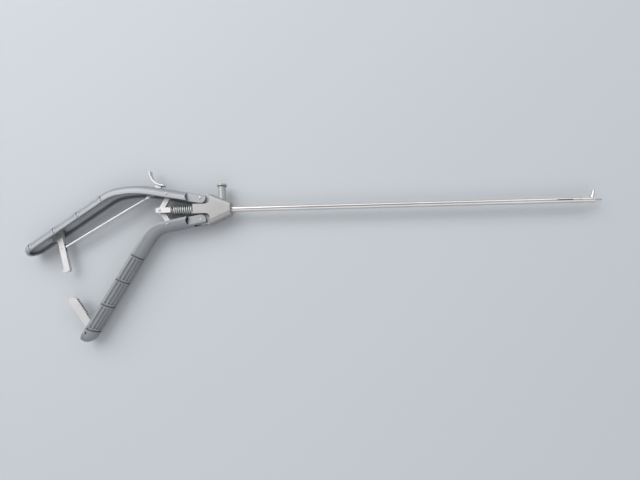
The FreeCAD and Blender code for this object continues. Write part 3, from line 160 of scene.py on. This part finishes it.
class Grain(Enum):
    """Which way the tool marks of a surface run, as stretch of the pattern along X, Y and Z."""

    EVEN = (1.0, 1.0, 1.0)
    ALONG_Y = (1.0, 0.05, 1.0)
    ROUND_X = (1.0, 0.08, 0.08)
    ROUND_Y = (0.08, 1.0, 0.08)


@dataclass(frozen=True)
class ShadeSpread:
    """Where the painted shade gathers.

    A wall counts as near within reach_mm. The shade is full where a point is as open as full, and
    gone where it is as open as gone, with 1 for a point that sees no wall.
    """

    reach_mm: float
    full: float
    gone: float


# Painted shade in deep hollows, such as the handle channels, and in narrow grooves and gaps.
HOLLOWS = ShadeSpread(reach_mm=20.0, full=0.22, gone=0.66)
GROOVES = ShadeSpread(reach_mm=2.2, full=0.55, gone=0.97)


@dataclass(frozen=True)
class MetalFinish:
    """A worked metal surface.

    The colour drifts to the shade and back over patches of patch_mm. The grain changes roughness
    and height. Real grains are mostly finer than 0.1 mm, so they are drawn as coarse as they need
    to be to show. Painted shade, at the strengths given for hollows and for grooves, darkens what
    lies deep, edges catch light over edge_mm, and a gripping face has crossed ridges of ridge_mm.
    """

    name: str
    colour: str
    shade: str
    roughness: float
    roughness_spread: float
    grain_mm: float
    grain_height_mm: float
    patch_mm: float
    grain: Grain = Grain.EVEN
    # Strengths of the painted shade in hollows and in grooves; finishes that don't set them get
    # these.
    hollow_shade: float = 0.85
    groove_shade: float = 0.45
    edge_mm: float = 0.22
    ridge_mm: float = 0.0

    def make(self) -> bpy.types.Material:
        """Make the material.

        Returns:
            A node-based material in Object coordinates.
        """
        material = new_material(self.name)
        tree = material.node_tree
        place = add_node(tree, "ShaderNodeTexCoord", {}, {}).outputs["Object"]
        stretched = add_node(
            tree, "ShaderNodeMapping", {"vector_type": "POINT", "Scale": self.grain.value},
            {"Vector": place},
        )
        grit = add_node(
            tree, "ShaderNodeTexNoise",
            {"Scale": 1 / (self.grain_mm * MM), "Detail": 4.0, "Roughness": 0.6},
            {"Vector": stretched.outputs["Vector"]},
        ).outputs["Fac"]
        roughness = add_node(
            tree, "ShaderNodeMapRange",
            {
                "From Min": 0.25, "From Max": 0.75,
                "To Min": self.roughness - self.roughness_spread,
                "To Max": self.roughness + self.roughness_spread,
            },
            {"Value": grit},
        )
        surface = add_node(
            tree, "ShaderNodeBsdfPrincipled", {"Metallic": 1.0},
            {
                "Base Color": self.tint(tree, place),
                "Roughness": roughness.outputs["Result"],
                "Normal": self.relief(tree, place, grit),
            },
        )
        add_node(tree, "ShaderNodeOutputMaterial", {}, {"Surface": surface.outputs["BSDF"]})
        return material

    def tint(self, tree: bpy.types.NodeTree, place: bpy.types.NodeSocket) -> bpy.types.NodeSocket:
        """Let the colour drift over patches, and lay painted shade over it.

        Args:
            tree: The material's node tree.
            place: Output with the Object coordinates.

        Returns:
            Output with the colour.
        """
        patches = add_node(
            tree, "ShaderNodeTexNoise",
            {"Scale": 1 / (self.patch_mm * MM), "Detail": 3.0, "Roughness": 0.55},
            {"Vector": place},
        )
        tones = add_node(tree, "ShaderNodeValToRGB", {}, {"Fac": patches.outputs["Fac"]})
        low, high = tones.color_ramp.elements
        low.position, low.color = 0.3, linear(self.shade)
        high.position, high.color = 0.7, linear(self.colour)
        shaded_colour = self.paint_shade(tree, tones.outputs["Color"], HOLLOWS, self.hollow_shade)
        return self.paint_shade(tree, shaded_colour, GROOVES, self.groove_shade)

    def paint_shade(
        self, tree: bpy.types.NodeTree, under: bpy.types.NodeSocket, spread: ShadeSpread, depth: float,
    ) -> bpy.types.NodeSocket:
        """Paint shade on what lies deep: darken the colour where walls stand near.

        Args:
            tree: The material's node tree.
            under: Output with the colour that is darkened.
            spread: Where the painted shade gathers.
            depth: Strength of the full painted shade.

        Returns:
            Output with the darkened colour.
        """
        openness = add_node(
            tree, "ShaderNodeAmbientOcclusion",
            {"samples": 8, "only_local": True, "Distance": spread.reach_mm * MM}, {},
        )
        share = add_node(
            tree, "ShaderNodeMapRange",
            {"From Min": spread.full, "From Max": spread.gone, "To Min": depth, "To Max": 0.0},
            {"Value": openness.outputs["AO"]},
        )
        return add_node(
            tree, "ShaderNodeMixRGB", {"Color2": linear(PAINTED_SHADE)},
            {"Fac": share.outputs["Result"], "Color1": under},
        ).outputs["Color"]

    def relief(
        self, tree: bpy.types.NodeTree, place: bpy.types.NodeSocket, grit: bpy.types.NodeSocket,
    ) -> bpy.types.NodeSocket:
        """Soften the edges, then raise the ridges and the grain.

        Args:
            tree: The material's node tree.
            place: Output with the Object coordinates.
            grit: Output with the pattern of the grain.

        Returns:
            Output with the normal.
        """
        normal = add_node(
            tree, "ShaderNodeBevel", {"samples": 6, "Radius": self.edge_mm * MM}, {},
        ).outputs["Normal"]
        if self.ridge_mm:
            for way in ("X", "Y"):
                normal = self.ridges(tree, place, normal, way)
        return add_node(
            tree, "ShaderNodeBump", {"Strength": 0.6, "Distance": self.grain_height_mm * MM},
            {"Height": grit, "Normal": normal},
        ).outputs["Normal"]

    def ridges(
        self, tree: bpy.types.NodeTree, place: bpy.types.NodeSocket, normal: bpy.types.NodeSocket,
        way: str,
    ) -> bpy.types.NodeSocket:
        """Raise one of the two rows of ridges that cross on a gripping face.

        Args:
            tree: The material's node tree.
            place: Output with the Object coordinates.
            normal: Output with the normal so far.
            way: Axis along which ridge follows ridge, "X" or "Y".

        Returns:
            Output with the normal.
        """
        bands = add_node(
            tree, "ShaderNodeTexWave",
            {
                "bands_direction": way, "wave_profile": "TRI",
                "Scale": WAVE_BAND / (self.ridge_mm * MM),
            },
            {"Vector": place},
        )
        return add_node(
            tree, "ShaderNodeBump", {"Strength": 1.0, "Distance": self.ridge_mm * MM / 2},
            {"Height": bands.outputs["Fac"], "Normal": normal},
        ).outputs["Normal"]


@dataclass(frozen=True)
class RubberFinish:
    """Moulded rubber: matte, with a faint bloom in clouds of bloom_mm."""

    name: str
    colour: str
    bloom: str
    bloom_mm: float
    roughness: float = 0.6

    def make(self) -> bpy.types.Material:
        """Make the material.

        Returns:
            A node-based material in Object coordinates.
        """
        material = new_material(self.name)
        tree = material.node_tree
        place = add_node(tree, "ShaderNodeTexCoord", {}, {})
        cloud = add_node(
            tree, "ShaderNodeTexNoise", {"Scale": 1 / (self.bloom_mm * MM), "Detail": 2.0},
            {"Vector": place.outputs["Object"]},
        )
        tones = add_node(tree, "ShaderNodeValToRGB", {}, {"Fac": cloud.outputs["Fac"]})
        low, high = tones.color_ramp.elements
        low.color, high.color = linear(self.colour), linear(self.bloom)
        surface = add_node(
            tree, "ShaderNodeBsdfPrincipled", {"Roughness": self.roughness},
            {"Base Color": tones.outputs["Color"]},
        )
        add_node(tree, "ShaderNodeOutputMaterial", {}, {"Surface": surface.outputs["BSDF"]})
        return material


@dataclass(frozen=True)
class BoardFinish:
    """Painted board: one even matte colour."""

    name: str
    colour: str
    roughness: float

    def make(self) -> bpy.types.Material:
        """Make the material.

        Returns:
            A plain node-based material.
        """
        material = new_material(self.name)
        tree = material.node_tree
        surface = add_node(
            tree, "ShaderNodeBsdfPrincipled",
            {"Base Color": linear(self.colour), "Roughness": self.roughness}, {},
        )
        add_node(tree, "ShaderNodeOutputMaterial", {}, {"Surface": surface.outputs["BSDF"]})
        return material


# Stainless steel blasted with glass beads: an even matte grey, painted shade in hollows, faint in
# grooves.
UPPER_HANDLE = MetalFinish(
    "bead_blasted_steel_upper_handle", colour="B0B2B5", shade="A4A6A9",
    roughness=0.62, roughness_spread=0.06, grain_mm=0.35, grain_height_mm=0.03, patch_mm=40.0,
    hollow_shade=1.0, groove_shade=0.12, edge_mm=0.5,
)
# The same blasting on the lower handle, a little darker, with painted shade in hollows, flutes and
# rings.
LOWER_HANDLE = MetalFinish(
    "bead_blasted_steel_lower_handle", colour="AAACAE", shade="9EA0A2",
    roughness=0.58, roughness_spread=0.06, grain_mm=0.35, grain_height_mm=0.03, patch_mm=35.0,
    hollow_shade=1.0, groove_shade=1.0, edge_mm=0.35,
)
# Stainless steel blasted with finer beads: lighter and smoother than the handles.
BLOCK = MetalFinish(
    "fine_blasted_steel_block", colour="B6B5B4", shade="ABAAA9",
    roughness=0.54, roughness_spread=0.05, grain_mm=0.25, grain_height_mm=0.02, patch_mm=18.0,
    edge_mm=0.5,
)
# Stainless steel, ground and polished so that its marks run round: bright, with long highlights.
TUBE = MetalFinish(
    "ground_steel_tube", colour="DDDAD8", shade="D1CECC",
    roughness=0.31, roughness_spread=0.05, grain_mm=0.30, grain_height_mm=0.006, patch_mm=30.0,
    grain=Grain.ROUND_X,
)
# Satin ground stainless steel of flat and small parts: nearly white in soft light.
SATIN = MetalFinish(
    "satin_ground_steel", colour="D2D1D1", shade="C6C5C5",
    roughness=0.55, roughness_spread=0.06, grain_mm=0.30, grain_height_mm=0.010, patch_mm=20.0,
    grain=Grain.ALONG_Y,
)
# Turned stainless steel: fine rings round the port's axis make it softer than ground steel.
TURNED_PORT = MetalFinish(
    "turned_steel_port", colour="BCBCBC", shade="B0B0B0",
    roughness=0.58, roughness_spread=0.05, grain_mm=0.25, grain_height_mm=0.008, patch_mm=12.0,
    grain=Grain.ROUND_Y,
)
# Machined and polished stainless steel: small bright faces with little painted shade.
JAW = MetalFinish(
    "machined_steel_jaw", colour="E6E3E1", shade="D8D5D3",
    roughness=0.40, roughness_spread=0.06, grain_mm=0.12, grain_height_mm=0.006, patch_mm=4.0,
    hollow_shade=0.3, groove_shade=0.3, edge_mm=0.12,
)
# Drawn spring steel wire: pale, with painted shade in the gaps between its turns.
SPRING_WIRE = MetalFinish(
    "drawn_spring_wire", colour="DADADA", shade="C6C6C6",
    roughness=0.55, roughness_spread=0.06, grain_mm=0.20, grain_height_mm=0.006, patch_mm=3.0,
    hollow_shade=0.0, groove_shade=0.55, edge_mm=0.05,
)
# Turned and polished steel: each pin gives a small soft glint on the matte handle.
PIN = MetalFinish(
    "polished_steel_pin", colour="B4B5B7", shade="A6A7A9",
    roughness=0.42, roughness_spread=0.04, grain_mm=0.20, grain_height_mm=0.004, patch_mm=6.0,
)
# Sintered tungsten carbide, ground with crossed ridges: darker and slightly yellow beside steel.
CARBIDE = MetalFinish(
    "ground_tungsten_carbide", colour="8B8A86", shade="797874",
    roughness=0.38, roughness_spread=0.06, grain_mm=0.10, grain_height_mm=0.010, patch_mm=3.0,
    edge_mm=0.05, ridge_mm=0.45,
)
# Moulded black silicone rubber: matte, nearly without highlights.
SEAL = RubberFinish("moulded_silicone_rubber", colour="1B1C1E", bloom="26272A", bloom_mm=1.5)
# Painted board: a pale cool grey, a little darker than the bright steel that lies on it.
FLOOR = BoardFinish("matte_pale_floor", colour="C2C6CA", roughness=0.8)


class End(Enum):
    """An end of a spring along the shaft axis."""

    REAR = "towards the handles' ends"
    FRONT = "towards the jaws"


class Side(Enum):
    """A flat side of the instrument, with the way that a dome rises there."""

    NEAR = 1
    FAR = -1


@dataclass(frozen=True)
class Coil:
    """A coil spring of round wire along the shaft axis, one end of it on the yoke.

    The other end moves with the yoke by the share follows of its travel. Where ground_radius is
    set, the first turn thins to it at its end, round a seat of seat_radius.
    """

    node: str
    turns: int
    wire_radius: float
    yoke_end: End
    follows: float = 0.0
    seat_radius: float = 0.0
    ground_radius: float = 0.0
    steps_per_turn: int = 44
    wire_sides: int = 16

    def build(self) -> None:
        """Wind the coil where the model's plain one lies, and hide the plain one."""
        low, high = (Vector(corner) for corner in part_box(self.node))
        middle = (low + high) / 2
        foot = Vector((low.x + self.wire_radius, middle.y, middle.z))
        mean = (high.y - low.y) / 2 - self.wire_radius
        rise = (high.x - low.x - 2 * self.wire_radius) / self.turns
        coil = self.wind(foot, mean, rise)
        if self.ground_radius:
            self.grind_first_turn(coil, foot, mean, rise)
        piece = new_piece(f"{self.node}_coil", coil, SPRING_WIRE.make())
        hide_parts(self.node)
        moving, still = (low.x, high.x) if self.yoke_end is End.REAR else (high.x, low.x)
        still = moving + (still - moving) / (1 - self.follows)
        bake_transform(piece)

    def wind(self, foot: Vector, mean: float, rise: float) -> bmesh.types.BMesh:
        """Spin a circle of wire forward round the axis.

        Args:
            foot: Where the coil's axis starts.
            mean: Radius of the wire's middle.
            rise: Distance between turns.

        Returns:
            The closed coil.
        """
        lean = math.atan2(rise, FULL_TURN * mean)
        start = Matrix.Translation(foot + Vector((0, mean, 0))) @ Matrix.Rotation(-lean, 4, "Y")
        coil = bmesh.new()
        bmesh.ops.create_circle(
            coil, cap_ends=False, segments=self.wire_sides, radius=self.wire_radius, matrix=start,
        )
        bmesh.ops.spin(
            coil, geom=list(coil.verts) + list(coil.edges), cent=foot, axis=(1, 0, 0),
            dvec=(rise / self.steps_per_turn, 0, 0), angle=FULL_TURN * self.turns,
            steps=self.turns * self.steps_per_turn, use_merge=False, use_duplicate=False,
        )
        bmesh.ops.holes_fill(coil, edges=[edge for edge in coil.edges if edge.is_boundary])
        return coil

    def grind_first_turn(
        self, coil: bmesh.types.BMesh, foot: Vector, mean: float, rise: float,
    ) -> None:
        """Thin the first turn towards its end, so that the closed links pass beside it.

        Args:
            coil: The wound coil.
            foot: Where the coil's axis starts.
            mean: Radius of the wire's middle.
            rise: Distance between turns.
        """
        seated = self.seat_radius + self.ground_radius
        for vert in coil.verts:
            along, across = vert.co.x - foot.x, vert.co.yz - foot.yz
            turned = math.atan2(across.y, across.x) / FULL_TURN
            turn = turned + round(along / rise - turned)
            if turn >= 1:
                continue
            share = max(turn, 0.0)
            radius = self.ground_radius + (self.wire_radius - self.ground_radius) * share
            scale = radius / self.wire_radius
            middle = seated + (mean - seated) * share
            level = along - turn * rise
            vert.co.x = foot.x + turn * rise + level * scale - (self.wire_radius - radius)
            vert.co.yz = foot.yz + across.normalized() * (middle + (across.length - mean) * scale)


@dataclass
class SubAssembly:
    """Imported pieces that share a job; each kind dresses its own and adds what they lack."""

    nodes: dict[str, bpy.types.Object]

    def dress_in(self, finish: MetalFinish | RubberFinish, *names: str) -> None:
        """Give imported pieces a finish.

        Args:
            finish: The finish.
            names: The pieces' names.
        """
        material = finish.make()
        for name in names:
            for slot in self.nodes[name].material_slots:
                slot.material = material
            LOG.info("%s is %s", name, finish.name)

    def dress(self) -> None:
        """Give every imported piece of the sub-assembly its finish."""
        raise NotImplementedError

    def build(self) -> None:
        """Add the pieces that only the looks have: none, unless a kind says otherwise."""


@dataclass
class Handles(SubAssembly):
    """The two hollow palm handles."""

    def dress(self) -> None:
        """Dress both shells."""
        self.dress_in(UPPER_HANDLE, "upper_handle_shell")
        self.dress_in(LOWER_HANDLE, "lower_handle_shell")


@dataclass
class Block(SubAssembly):
    """The block with its flushing port, set screw and seal."""

    def dress(self) -> None:
        """Dress the block and what sits in it."""
        self.dress_in(BLOCK, "body_block")
        self.dress_in(TURNED_PORT, "flush_port", "shaft_set_screw")
        self.dress_in(SEAL, "rod_seal")


@dataclass
class Toggle(SubAssembly):
    """Yoke, links and drive rod with their two springs.

    The return coil, round the yoke's sleeve, opens the handles. The overload coil lies inside the
    sleeve, between its lip and the rod's collar, which moves less than the yoke.
    """

    return_coil: Coil = Coil(
        "return_spring", turns=10, wire_radius=0.75 * MM, yoke_end=End.REAR,
        seat_radius=2.66 * MM, ground_radius=0.30 * MM,
    )
    overload_coil: Coil = Coil(
        "overload_spring", turns=26, wire_radius=0.15 * MM, yoke_end=End.FRONT,
        follows=0.304, steps_per_turn=20, wire_sides=8,
    )

    def dress(self) -> None:
        """Dress yoke, links, rod and springs."""
        self.dress_in(SATIN, "yoke", "upper_link", "lower_link", "drive_rod")
        self.dress_in(SPRING_WIRE, "return_spring", "overload_spring")

    def build(self) -> None:
        """Wind both springs."""
        self.return_coil.build()
        self.overload_coil.build()


@dataclass
class Ratchet(SubAssembly):
    """Rack, pawl and the leaf spring that presses the pawl."""

    leaf_stretches: int = 16

    def dress(self) -> None:
        """Dress rack, pawl and leaf."""
        self.dress_in(SATIN, "ratchet_rack", "ratchet_pawl", "leaf_spring")

    def build(self) -> None:
        """Cut the leaf into short stretches along its length, and hide the plain one."""
        leaf = bmesh.new()
        leaf.from_mesh(self.nodes["leaf_spring"].data)
        bmesh.ops.remove_doubles(leaf, verts=leaf.verts, dist=WELD)
        low, high = (Vector(corner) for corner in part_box("leaf_spring"))
        for number in range(1, self.leaf_stretches):
            x = low.x + (high.x - low.x) * number / self.leaf_stretches
            bmesh.ops.bisect_plane(
                leaf, geom=list(leaf.verts) + list(leaf.edges) + list(leaf.faces), dist=WELD,
                plane_co=(x, 0, 0), plane_no=(1, 0, 0),
            )
        piece = new_piece("bent_leaf", leaf, SATIN.make())
        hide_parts("leaf_spring")
        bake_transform(piece)


@dataclass
class Release(SubAssembly):
    """The thumb lever and the rod that draws the pawl off the rack."""

    def dress(self) -> None:
        """Dress lever and rod."""
        self.dress_in(SATIN, "thumb_lever")
        self.dress_in(TUBE, "release_rod")


@dataclass
class ShaftAndJaws(SubAssembly):
    """The tube and the two jaws with their gripping plates."""

    def dress(self) -> None:
        """Dress tube, jaws and plates."""
        self.dress_in(TUBE, "shaft_tube")
        self.dress_in(JAW, "fixed_jaw", "moving_jaw")
        self.dress_in(CARBIDE, "fixed_jaw_insert", "moving_jaw_insert")


@dataclass
class Pins(SubAssembly):
    """All pins, rivets and the leaf's screw, with low domes on the ends that show.

    A dome's foot is the share foot of the pin's radius, and its height the share rise of its foot.
    """

    foot: float = 0.83
    rise: float = 0.26
    segments: int = 32
    rings: int = 5

    def dress(self) -> None:
        """Dress pins, rivets and screw."""
        self.dress_in(
            PIN, "upper_pivot_pin", "lower_pivot_pin", "upper_link_pin", "lower_link_pin",
            "leaf_spring_screw", "pawl_pivot_pin", "rack_rivets", "pawl_rod_pin", "lever_rod_pin",
            "jaw_pivot_pin", "jaw_crank_pin",
        )
        self.dress_in(TURNED_PORT, "yoke_pin")

    def build(self) -> None:
        """Put a dome on each end of each pin that shows at the sides of handles and yoke."""
        material = PIN.make()
        bodies = {
            "upper_handle": ("upper_pivot_pin", "upper_link_pin", "pawl_pivot_pin"),
            "lower_handle": ("lower_pivot_pin", "lower_link_pin"),
            "yoke": ("yoke_pin",),
        }
        for body, pins in bodies.items():
            for pin in pins:
                low, high = (Vector(corner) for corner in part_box(pin))
                middle = (low + high) / 2
                radius = (high.x - low.x) / 2 * self.foot
                for side, level in ((Side.NEAR, high.z), (Side.FAR, low.z)):
                    head = self.dome(Vector((middle.x, middle.y, level)), side, radius)
                    piece = new_piece(f"{pin}_{side.name.lower()}_head", head, material)
                    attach(piece, body)

    def dome(self, centre: Vector, side: Side, radius: float) -> bmesh.types.BMesh:
        """Spin one dome about its axis.

        Args:
            centre: Centre of its flat foot.
            side: The side of the instrument that it shows on.
            radius: Radius of its foot.

        Returns:
            The closed dome.
        """
        head = bmesh.new()
        profile = []
        for ring in range(self.rings + 1):
            angle = math.pi / 2 * ring / self.rings
            height = side.value * self.rise * math.sin(angle)
            profile.append(head.verts.new(centre + Vector((math.cos(angle), 0, height)) * radius))
        edges = [head.edges.new(pair) for pair in zip(profile, profile[1:])]
        bmesh.ops.spin(
            head, geom=profile + edges, cent=centre, axis=(0, 0, 1), dvec=(0, 0, 0), angle=FULL_TURN,
            steps=self.segments, use_merge=True, use_duplicate=False,
        )
        bmesh.ops.remove_doubles(head, verts=head.verts, dist=WELD)
        bmesh.ops.holes_fill(head, edges=[edge for edge in head.edges if edge.is_boundary])
        return head


@dataclass(frozen=True)
class Lamp:
    """A rectangular soft light, with its place, its target, its sides and its power in watts."""

    name: str
    place: tuple[float, float, float]
    target: tuple[float, float, float]
    sides: tuple[float, float]
    power: float

    def hang(self) -> None:
        """Hang the lamp at its place, turned to its target."""
        data = bpy.data.lights.new(self.name, "AREA")
        data.shape = "RECTANGLE"
        data.size, data.size_y = self.sides
        data.energy = self.power
        lamp = bpy.data.objects.new(self.name, data)
        lamp.location = self.place
        aim = Vector(self.target) - Vector(self.place)
        lamp.rotation_euler = aim.to_track_quat("-Z", "Y").to_euler()
        bpy.context.scene.collection.objects.link(lamp)


@dataclass
class Studio:
    """A pale floor, soft light and the camera straight above.

    A soft window stands at the upper left, and a long weaker panel on each side of the shaft. The
    room is dim overhead, where the photographer stands, so the tube shows a darker middle line.
    dim_from and dim_full are heights of the looking direction, with 1 for straight up.
    """

    floor_z: float = -8.8 * MM
    floor_side: float = 6.0
    lamps: tuple[Lamp, ...] = (
        Lamp("window", (-0.80, 0.60, 0.95), (0.08, -0.03, 0.0), (1.3, 1.3), 12.0),
        Lamp("far_panel", (0.45, 0.85, 0.70), (0.45, -0.03, 0.0), (2.4, 0.5), 5.5),
        Lamp("near_panel", (0.45, -0.90, 0.85), (0.45, -0.03, 0.0), (2.4, 0.8), 5.0),
    )
    room_strength: float = 0.55
    room_tone: tuple[float, ...] = (0.94, 0.96, 1.0, 1.0)
    overhead_tone: tuple[float, ...] = (0.22, 0.23, 0.25, 1.0)
    dim_from: float = 0.86
    dim_full: float = 0.96
    camera_place: tuple[float, float, float] = (78 * MM, -73 * MM, 327 * MM)
    camera_roll_deg: float = -1.54
    sensor_mm: float = 36.0
    focal_px: float = 362.0
    image_width_px: int = 640
    nadir_below_centre_px: float = 47.7
    nearest_seen: float = 10 * MM

    def build(self) -> None:
        """Make floor, lamps, room and camera."""
        self.make_floor()
        for lamp in self.lamps:
            lamp.hang()
        self.make_room()
        self.make_camera()

    def make_floor(self) -> None:
        """Lay the pale floor under the instrument."""
        board = bmesh.new()
        bmesh.ops.create_grid(
            board, x_segments=1, y_segments=1, size=self.floor_side / 2,
            matrix=Matrix.Translation((0, 0, self.floor_z)),
        )
        floor = new_piece("floor", board, FLOOR.make())

    def make_room(self) -> None:
        """Give the room an even pale light, with the dim patch overhead."""
        world = bpy.data.worlds.new("room")
        world.use_nodes = True
        tree = world.node_tree
        background = tree.nodes["Background"]
        background.inputs["Strength"].default_value = self.room_strength
        place = add_node(tree, "ShaderNodeTexCoord", {}, {})
        height = add_node(tree, "ShaderNodeSeparateXYZ", {}, {"Vector": place.outputs["Generated"]})
        tones = add_node(tree, "ShaderNodeValToRGB", {}, {"Fac": height.outputs["Z"]})
        room, overhead = tones.color_ramp.elements
        room.position, room.color = self.dim_from, self.room_tone
        overhead.position, overhead.color = self.dim_full, self.overhead_tone
        tree.links.new(tones.outputs["Color"], background.inputs["Color"])
        bpy.context.scene.world = world

    def make_camera(self) -> None:
        """Place the camera straight above, with the photograph's focal length and framing."""
        data = bpy.data.cameras.new("camera")
        data.sensor_fit = "HORIZONTAL"
        data.sensor_width = self.sensor_mm
        data.lens = self.focal_px / self.image_width_px * self.sensor_mm
        data.shift_y = self.nadir_below_centre_px / self.image_width_px
        data.clip_start = self.nearest_seen
        camera = bpy.data.objects.new("camera", data)
        camera.location = self.camera_place
        camera.rotation_euler = (0.0, 0.0, math.radians(self.camera_roll_deg))
        bpy.context.scene.collection.objects.link(camera)
        bpy.context.scene.camera = camera


def main() -> None:
    """Load the instrument, dress and complete it, and light it."""
    logging.basicConfig(level=logging.INFO, format="%(name)s: %(message)s")
    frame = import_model()
    bpy.context.scene.view_settings.view_transform = "Standard"
    for kind in (Handles, Block, Toggle, Ratchet, Release, ShaftAndJaws, Pins):
        LOG.info("sub-assembly: %s", kind.__name__)
        assembly = kind(frame["nodes"])
        assembly.dress()
        assembly.build()
    Studio().build()


if __name__ == "__main__":
    main()
